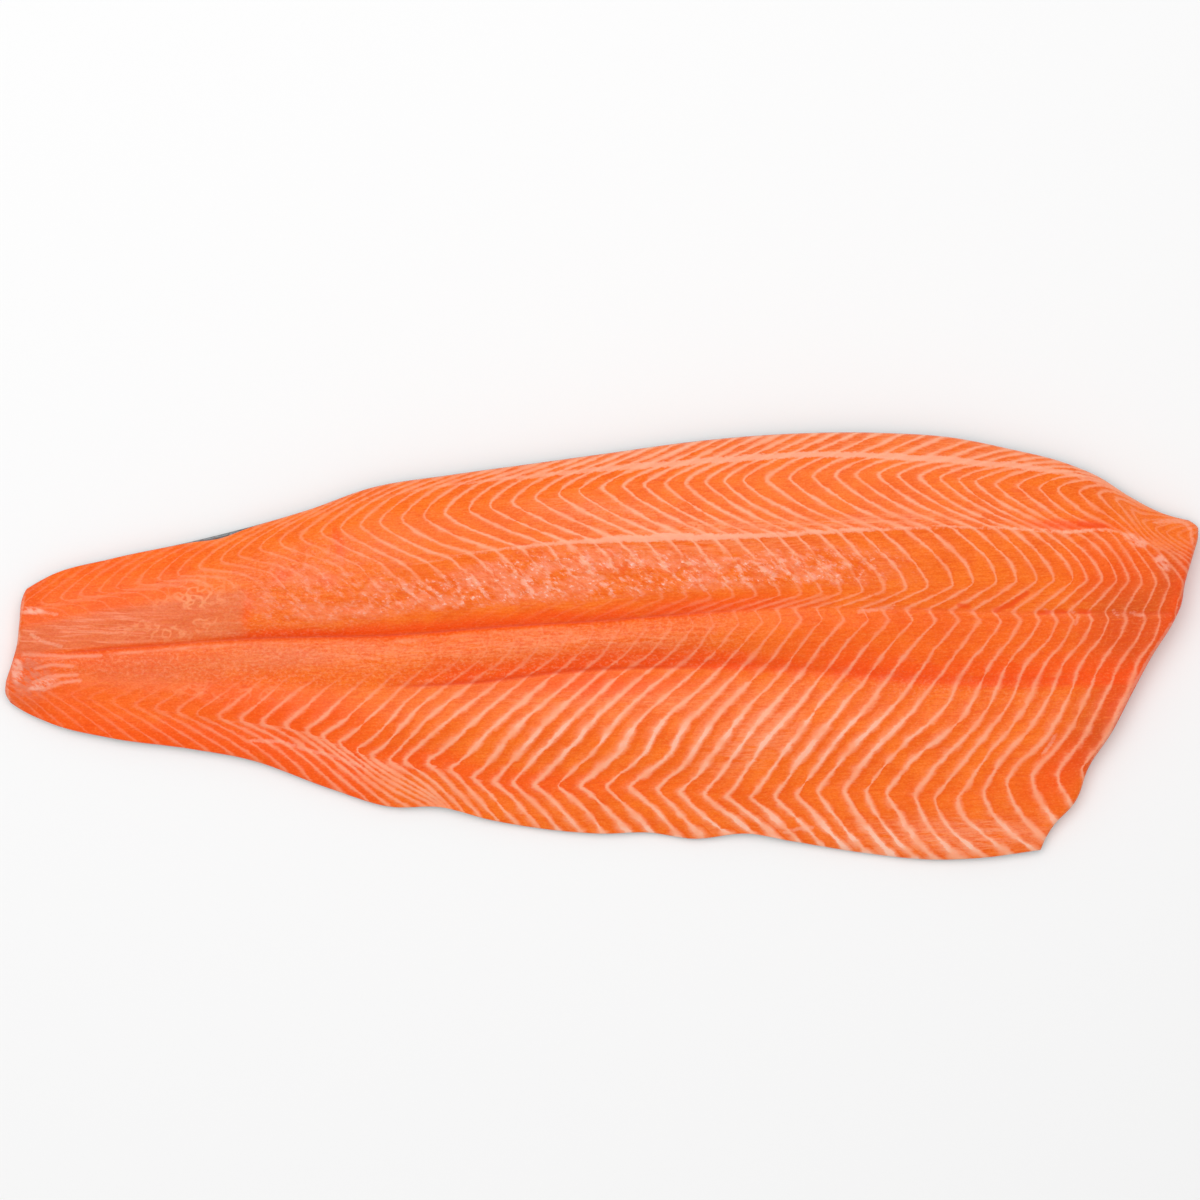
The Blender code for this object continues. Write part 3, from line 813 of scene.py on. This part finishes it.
for old in ("share", "row", "level"):
    flesh_mesh.attributes.remove(flesh_mesh.attributes[old])
on_cut = (to_cut < CUT_WALL_WITHIN) & (level > 0)
band = np.where(on_cut, y / RINGS_APART + RINGS_BEND * depth**1.5, band - SHEET_LEAN * (top - z))
marks = {
    "band": band, "spacing": spacing, "fat": fat, "fat_width": fat_width, "pale": pale,
    "pale_edge": pale_edge, "deep_and_painted_shade": deep_and_painted_shade, "wet": wet, "film": np.maximum(film, low_film),
    "pale_haze_and_highlight": pale_haze_and_highlight, "contours": contours, "pink": pink, "nick": nick, "streak": streak,
    "blotch": blotch, "rim": rim, "grainy": grainy, "film_strands": film_strands,
    "shaded_furrow": shaded_furrow, "highlit_lip": highlit_lip, "curd": curd,
}
for name, values in marks.items():
    layer = flesh_mesh.attributes.new(name, "FLOAT", "POINT")
    layer.data.foreach_set("value", values.astype(np.float32))
flesh_mesh.shade_smooth()
flesh_piece = add_object("salmon_flesh", flesh_mesh)
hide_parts("flesh")
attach(flesh_piece, "root")

# %% [markdown]
# ## The skin
#
# The skin is one sheet a millimetre thick, flat under the fillet and turned up at its long edges.
# It could be cut from the underside of the flesh, but then the two would share a surface. It is the
# same grid again, coarser, and the faces are extruded and lifted to give it its thickness.

# %% A sheet of skin
SKIN_COLUMNS = 260
SKIN_ROWS = (10, 8, 6, 5, 5, 10, 14)


def skin_sheet():
    rows = spread_rows(SKIN_ROWS)
    sheet = bmesh.new()
    bmesh.ops.create_grid(sheet, x_segments=SKIN_COLUMNS, y_segments=len(rows) - 1, size=0.5)
    points = list(sheet.verts)
    share = np.array([point.co.x + 0.5 for point in points])
    row = np.array([rows[round((point.co.y + 0.5) * (len(rows) - 1))] for point in points])
    x, y = plan(row, share, show=0.0)
    z = turned_up(x, y)
    for point, place in zip(points, np.column_stack([x, y, z]) * MM):
        point.co = place
    lower = list(sheet.faces)
    made = bmesh.ops.extrude_face_region(sheet, geom=lower)["geom"]
    lifted = [item for item in made if isinstance(item, bmesh.types.BMVert)]
    bmesh.ops.translate(sheet, verts=lifted, vec=(0, 0, SKIN_THICKNESS * MM))
    bmesh.ops.recalc_face_normals(sheet, faces=list(sheet.faces))
    return mesh_of("skin_sheet", sheet)


skin_mesh = skin_sheet()
skin_mesh.shade_smooth()
skin_piece = add_object("salmon_skin", skin_mesh)
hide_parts("skin")
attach(skin_piece, "root")
print("points in the skin:", len(skin_mesh.vertices))

# %% [markdown]
# ## Finishes
#
# The colours could be painted by hand, but marks on the mesh give sharp edges at any distance. The
# flesh reads the masks and the band number from the mesh, and Object coordinates in millimetres for
# everything finer than the mesh.
#
# Both finishes are made from short tables: the steps that are worked out, each by its name, and the
# layers of colour from the bottom up. A long chain of single nodes would do the same, but it could
# not be read or changed as easily.

# %% Colours and nodes
def linear(hex_colour):
    """sRGB hex to linear RGBA."""
    channels = [int(hex_colour[i:i + 2], 16) / 255 for i in (1, 3, 5)]
    return [c / 12.92 if c <= 0.04045 else ((c + 0.055) / 1.055) ** 2.4 for c in channels] + [1.0]


def add_node(tree, kind, sockets=(), out=0, **settings):
    """Adds a shader node with its settings. Each socket, by name or in order, is linked to another
    node's output or given a constant; a hex colour is turned linear. Gives back one output."""
    made = tree.nodes.new("ShaderNode" + kind)
    for name, value in settings.items():
        setattr(made, name, value)
    for socket, value in sockets.items() if isinstance(sockets, dict) else enumerate(sockets):
        if isinstance(value, bpy.types.NodeSocket):
            tree.links.new(value, made.inputs[socket])
        else:
            made.inputs[socket].default_value = linear(value) if isinstance(value, str) else value
    return made.outputs[out]


def new_material(name, constants):
    """A material with the constants set on its shader."""
    material = bpy.data.materials.new(name)
    material.use_nodes = True
    shader = material.node_tree.nodes["Principled BSDF"]
    for socket, value in constants.items():
        shader.inputs[socket].default_value = value
    return material, material.node_tree, shader


def scaled_places(tree, times):
    """Object coordinates, from metres to the size that a pattern needs."""
    place = add_node(tree, "TexCoord", out="Object")
    return add_node(tree, "VectorMath", {0: place, "Scale": times}, operation="SCALE")


def work_out(tree, known, steps):
    """Adds a node for each named step. A step is an operation and what it is done to, numbers or
    the names of known things. Without an operation it is a known thing, graded smoothly from
    nothing where it is the first number to all where it is the second."""
    for name, step in steps.items():
        values = [known.get(value, value) for value in step]
        if step[0] in known:
            known[name] = add_node(tree, "MapRange", values, interpolation_type="SMOOTHSTEP")
        else:
            known[name] = add_node(tree, "Math", values[1:], operation=step[0])


def lay_colours(tree, shader, known, ground, layers):
    """Colours the shader with a ground under layers. Each layer is as strong as its share times
    all that is named with it."""
    for names, share, over in layers:
        for name in names:
            share = add_node(tree, "Math", (share, known[name]), operation="MULTIPLY",
                             use_clamp=True)
        ground = add_node(tree, "Mix", {0: share, 6: ground, 7: over}, out=2, data_type="RGBA")
    tree.links.new(ground, shader.inputs["Base Color"])


# %% [markdown]
# ### Raw salmon muscle
#
# The muscle is wet, slightly see-through and deep orange. Light goes in and comes out a few
# millimetres further on, redder, so the thin and shaded places look deeper in colour. In the
# grooves, creases and toward the cut edges that shade is also painted into the colour. Its
# refractive index is that of water and protein, about 1.38, and the film of water on it gives a
# soft coat.

# %% What is read from the mesh, and the grains laid over it
flesh_material, tree, shader = new_material("raw salmon muscle", {
    "Roughness": 0.34, "IOR": 1.38, "Specular IOR Level": 0.25, "Subsurface Weight": 0.15,
    "Subsurface Radius": (1.0, 0.35, 0.15), "Subsurface Scale": 0.002, "Coat Weight": 0.08,
    "Coat Roughness": 0.15})
in_mm = scaled_places(tree, 1000.0)
known = {name: add_node(tree, "Attribute", attribute_name=name, out="Fac") for name in marks}

# Each grain: hollows in millimetres along and across the fish, turn in degrees, detail, roughness.
# Real fibres are a fifth of a millimetre thick and the finest are drawn four times as coarse, or
# they would not show from above.
GRAINS = {
    "wobble": (8, 8, 0, 3, 0.5),
    "feather": (2.2, 0.8, 0, 2, 0.5),
    "thick": (9, 9, 0, 2, 0.5),
    "fibre": (8, 0.8, 4, 2, 0.6),
    "long fibre": (24, 1.8, -3, 2, 0.5),
    "mottle": (18, 14, 0, 3, 0.5),
    "speckle": (1.3, 0.8, 0, 3, 0.65),
    "blob": (4.6, 2.2, -32, 4, 0.65),
    "glint": (2.4, 1.3, 10, 2, 0.6),
    "patch": (15, 10, 0, 2, 0.5),
    "film grain": (22, 1.5, -1, 2, 0.55),
    "cell": (5.5, 4.2, 15, 1, 0.4),
    "crumb": (1.8, 1.4, 0, 3, 0.6),
}
for name, (along, across, turn, detail, roughness) in GRAINS.items():
    laid = add_node(tree, "Mapping", {0: in_mm, "Rotation": (0, 0, np.radians(turn)),
                                      "Scale": (along, across, across)}, vector_type="TEXTURE")
    known[name] = add_node(tree, "TexNoise", {"Vector": laid, "Scale": 1.0, "Detail": detail,
                                              "Roughness": roughness})
print("grains laid on the muscle:", len(GRAINS))

# %% Distances to the sheets of fat and to the edges of things, made ragged
DISTANCES = {"centred " + name: ("SUBTRACT", name, 0.5)
             for name in ("wobble", "feather", "cell", "crumb")}
DISTANCES |= {
    # Bands from the nearest sheet of fat, less than half on either side of it.
    "wobble share": ("MULTIPLY_ADD", "wet", 0.5, 0.24),
    "count": ("MULTIPLY_ADD", "centred wobble", "wobble share", "band"),
    "half on": ("ADD", "count", 0.5),
    "part way": ("FRACT", "half on"),
    "from middle": ("SUBTRACT", "part way", 0.5),
    "off": ("ABSOLUTE", "from middle"),
    # The same in millimetres, and then in half widths of the sheet.
    "even off": ("MULTIPLY", "off", "spacing"),
    "feathered off": ("MULTIPLY_ADD", "centred feather", 1.4, "even off"),
    "swelling": ("MULTIPLY_ADD", "thick", 3.0, -0.55),
    "width": ("MULTIPLY", "fat_width", "swelling"),
    "off widths": ("DIVIDE", "feathered off", "width"),
    "side": ("MULTIPLY", "from middle", "spacing"),
    "side widths": ("DIVIDE", "side", "width"),
    # Millimetres from the edges of other things.
    "ragged pale": ("MULTIPLY_ADD", "centred crumb", 2.6, "pale_edge"),
    "ragged streak": ("MULTIPLY_ADD", "centred crumb", 2.4, "streak"),
    "ragged nick": ("MULTIPLY_ADD", "centred crumb", 1.2, "nick"),
    "cell edge": ("ABSOLUTE", "centred cell"),
}
work_out(tree, known, DISTANCES)
print("distances worked out:", len(DISTANCES))

# %% How much of each thing there is
AMOUNTS = {
    "fat line": ("off widths", 2.3, 0.1),
    "fat core": ("off widths", 1.0, 0.55),
    "broad fat": ("fat_width", 0.85, 1.5),
    "bright fat": ("patch", 0.34, 0.58),
    # Painted light and shade beside each sheet of fat: one side lit, the other shaded, as if the
    # bands overlapped like shingles.
    "lit before fat": ("side widths", -4.5, -0.5),
    "not past fat": ("side widths", 1.2, 0.0),
    "shaded beside fat": ("side widths", 0.8, 2.0),
    "near fat": ("side widths", 5.0, 2.5),
    "frayed fat": ("off widths", 7.0, 1.5),
    "unbroken": ("blob", 0.38, 0.52),
    "dull": ("SUBTRACT", 1.0, "wet"),
    "whole": ("MAXIMUM", "dull", "unbroken"),
    "light mottle": ("mottle", 0.35, 0.65),
    "light fibre": ("fibre", 0.5, 0.72),
    "dark fibre": ("fibre", 0.5, 0.3),
    "light long fibre": ("long fibre", 0.45, 0.7),
    "hazy fibre": ("long fibre", 0.3, 0.6),
    "light speckle": ("speckle", 0.5, 0.72),
    "dark speckle": ("speckle", 0.5, 0.3),
    "deep patch": ("patch", 0.1, 0.48),
    "light film": ("film grain", 0.48, 0.66),
    "dark film": ("film grain", 0.48, 0.3),
    "cell line": ("cell edge", 0.1, 0.02),
    "cell patch": ("patch", 0.42, 0.55),
    "wet blob": ("blob", 0.45, 0.62),
    "wet pit": ("blob", 0.44, 0.34),
    "wet patch": ("patch", 0.38, 0.6),
    # Painted highlights: glints drawn in colour.
    "bright glint": ("glint", 0.54, 0.66),
    "glint patch": ("blob", 0.5, 0.6),
    "light crumb": ("crumb", 0.5, 0.66),
    "dark crumb": ("crumb", 0.5, 0.36),
    "pale line": ("ragged pale", 0.6, -0.5),
    "streak line": ("ragged streak", 1.4, 0.1),
    "nick cut": ("ragged nick", 1.8, 0.5),
    "blotch edge": ("blotch", 0.15, 0.7),
    "pink blob": ("blob", 0.35, 0.6),
}
work_out(tree, known, AMOUNTS)
print("amounts graded:", len(AMOUNTS))

# %% Layers of colour, from the muscle up: where they are, how strong, and their colour
LAYERS = (
    (("light mottle",), 0.9, "#FC7614"),
    (("light long fibre",), 0.3, "#FF7E30"),
    # Pale haze, partly a painted highlight.
    (("pale_haze_and_highlight", "hazy fibre"), 0.8, "#FF986E"),
    # Painted shade at the head cut and the tail end.
    (("rim",), 0.8, "#CC4812"),
    (("light fibre",), 0.4, "#FF8438"),
    # Pale haze, partly a painted highlight.
    (("pale_haze_and_highlight", "light fibre"), 0.6, "#FFB48E"),
    # Painted shade in the grooves, creases and toward the head cut, with deeper orange patches.
    (("deep_and_painted_shade", "deep patch"), 0.92, "#FF4E00"),
    (("dark fibre",), 0.4, "#E84C04"),
    (("film",), 0.65, "#E2764C"),
    (("film_strands", "light film"), 0.45, "#FFA684"),
    (("film", "dark film"), 0.25, "#DC5A2A"),
    (("contours", "cell patch", "cell line"), 0.5, "#FFA876"),
    (("grainy", "light crumb"), 0.34, "#FFA07A"),
    (("grainy", "dark crumb"), 0.4, "#F25006"),
    (("light speckle",), 0.34, "#FF9450"),
    (("dark speckle",), 0.35, "#E24404"),
    # Lighter wet patches and darker wet pits: partly the flesh's own blotches, partly painted light
    # and shade on the lumps.
    (("wet", "wet patch"), 0.5, "#FF9068"),
    (("wet", "wet pit"), 0.5, "#F0520A"),
    (("curd", "wet blob"), 0.35, "#FFA284"),
    (("curd", "frayed fat", "wet blob"), 0.8, "#FFAE94"),
    # Painted highlights: white glints on the wet curd.
    (("curd", "glint patch", "bright glint"), 0.75, "#FFD2C0"),
    # Painted highlight before each sheet of fat, painted shade beside it.
    (("fat", "lit before fat", "not past fat"), 0.3, "#FF9468"),
    (("fat", "shaded beside fat", "near fat"), 0.2, "#EA4800"),
    (("fat", "whole", "fat line"), 0.82, "#FFAA84"),
    (("fat", "whole", "fat core", "bright fat"), 0.32, "#FFBE9E"),
    (("fat", "broad fat", "fat core", "bright fat"), 0.5, "#FFD4C2"),
    (("pale", "pale line"), 0.8, "#FFAE8C"),
    (("streak line",), 0.38, "#FFBCA0"),
    (("pink", "pink blob"), 0.6, "#D8846A"),
    (("blotch edge", "pink blob"), 0.6, "#FFBCA4"),
    # Painted shade in the furrows.
    (("shaded_furrow",), 0.65, "#DC3E06"),
    # Painted highlight on the lips.
    (("highlit_lip", "light mottle"), 0.5, "#FFA888"),
    (("nick cut",), 0.75, "#F04A02"),
)
lay_colours(tree, shader, known, "#F3670A", LAYERS)
print("layers of colour on the muscle:", len(LAYERS))

# %% Fine relief, in tenths of a millimetre
work_out(tree, known, {
    "wet height": ("MULTIPLY_ADD", "wet", 6.0, 1.0),
    "wet relief": ("MULTIPLY", "wet height", "glint"),
    "grainy height": ("MULTIPLY_ADD", "grainy", 5.0, 0.5),
    "grainy relief": ("MULTIPLY", "grainy height", "crumb"),
    "film relief": ("MULTIPLY", "film", "film grain"),
})
height = 0.0
for name, tenths in {"speckle": 1.5, "fibre": 1.2, "fat line": 1.0, "wet relief": 1.0,
                     "grainy relief": 1.0, "film relief": 2.0}.items():
    height = add_node(tree, "Math", (known[name], tenths, height), operation="MULTIPLY_ADD")
bumped = add_node(tree, "Bump", {"Height": height, "Strength": 0.7, "Distance": 0.0001})
tree.links.new(bumped, shader.inputs["Normal"])
flesh_mesh.materials.append(flesh_material)

# %% [markdown]
# ### Skin
#
# The outside of the fish is small overlapping scales, silver on the belly and blue-grey with black
# spots toward the back. It shines through a film of water, so it has a clear coat and is a little
# metallic. A salmon's scales are 3 to 4 mm wide.

# %% Skin
SCALE_WIDTH = 3.4
SPOT_WIDTH = 7.0
SPECK_WIDTH = 2.2
skin_material, tree, shader = new_material("wet silver salmon skin", {
    "Metallic": 0.25, "Roughness": 0.3, "Coat Weight": 0.4, "Coat Roughness": 0.12})
in_mm = scaled_places(tree, 1000.0)
in_scales = add_node(tree, "VectorMath", {0: in_mm, "Scale": 1 / SCALE_WIDTH}, operation="SCALE")
known = {
    "off scale edge": add_node(tree, "TexVoronoi", {0: in_scales, "Scale": 1.0}, out="Distance",
                               feature="DISTANCE_TO_EDGE"),
    "across": add_node(tree, "SeparateXYZ", (in_mm,), out="Y"),
    "specks": add_node(tree, "TexNoise", {0: in_mm, "Scale": 1 / SPECK_WIDTH, "Detail": 3.0}),
    "spots": add_node(tree, "TexNoise", {0: in_mm, "Scale": 1 / SPOT_WIDTH, "Detail": 1.0}),
}
SKIN_AMOUNTS = {
    "back": ("across", 10.0, 75.0),
    "light speck": ("specks", 0.35, 0.65),
    "scale edge": ("off scale edge", 0.22, 0.0),
    "scale": ("off scale edge", 0.0, 0.3),
    "spot": ("spots", 0.67, 0.72),
}
SKIN_LAYERS = (
    (("light speck",), 0.8, "#C9CCC8"),
    (("back",), 0.95, "#44525A"),
    (("back", "light speck"), 0.5, "#6C7B82"),
    (("scale edge",), 0.35, "#4C565A"),
    (("spot", "back"), 1.0, "#20282C"),
)
work_out(tree, known, SKIN_AMOUNTS)
lay_colours(tree, shader, known, "#A9B0B2", SKIN_LAYERS)
bumped = add_node(tree, "Bump", {"Height": known["scale"], "Strength": 0.4, "Distance": 0.0005})
tree.links.new(bumped, shader.inputs["Normal"])
skin_mesh.materials.append(skin_material)
print("layers of colour on the skin:", len(SKIN_LAYERS))

# %% [markdown]
# ## Floor, light and camera
#
# The fillet lies on a plain pale floor, seen from straight above with a long lens, which hardly
# bends its outline. Wet flesh has no sharp white spots under soft light, so one wide softbox hangs
# almost overhead, a little toward the back and the tail, and the pale world fills the shadows. A
# small lamp would show the relief more harshly and wash out the orange.

# %% Floor
floor = bmesh.new()
bmesh.ops.create_grid(floor, x_segments=1, y_segments=1, size=4.0)
floor_mesh = mesh_of("floor", floor)
floor_piece = add_object("floor", floor_mesh)
floor_material = new_material("matt white paper", {
    "Base Color": linear("#F4F4F4"), "Roughness": 0.9})[0]
floor_mesh.materials.append(floor_material)
print("floor:", floor_piece.name, "is not part of the fillet")

# %% Light
SOFTBOX_PLACE = Vector((-0.25, 0.55, 2.0))
SOFTBOX_AIM = Vector((0, 0, 0.01))
softbox = bpy.data.lights.new("key softbox", "AREA")
softbox.shape = "RECTANGLE"
softbox.size, softbox.size_y = 2.6, 1.8
softbox.energy = 27
softbox_piece = add_object("key softbox", softbox)
softbox_piece.location = SOFTBOX_PLACE
softbox_piece.rotation_euler = (SOFTBOX_AIM - SOFTBOX_PLACE).to_track_quat("-Z", "Y").to_euler()
world = bpy.data.worlds.new("pale studio")
bpy.context.scene.world = world
world.use_nodes = True
world.node_tree.nodes["Background"].inputs["Color"].default_value = (1, 1, 1, 1)
world.node_tree.nodes["Background"].inputs["Strength"].default_value = 0.62
print("softbox:", softbox.energy, "W,", softbox_piece.location.z, "m up")

# %% Camera, far enough up to take in the frame's width at the frame's height above the floor
LENS = 180
SENSOR = 36
FRAME_WIDTH = 0.6
FRAME_HEIGHT = 0.010
camera = bpy.data.cameras.new("camera")
camera.lens = LENS
camera.sensor_width = SENSOR
camera_piece = add_object("camera", camera)
camera_piece.location = (-0.0005, 0.02325, FRAME_HEIGHT + FRAME_WIDTH * LENS / SENSOR)
bpy.context.scene.camera = camera_piece
bpy.context.scene.view_settings.view_transform = "Standard"
print("camera at", [round(c, 3) for c in camera_piece.location])
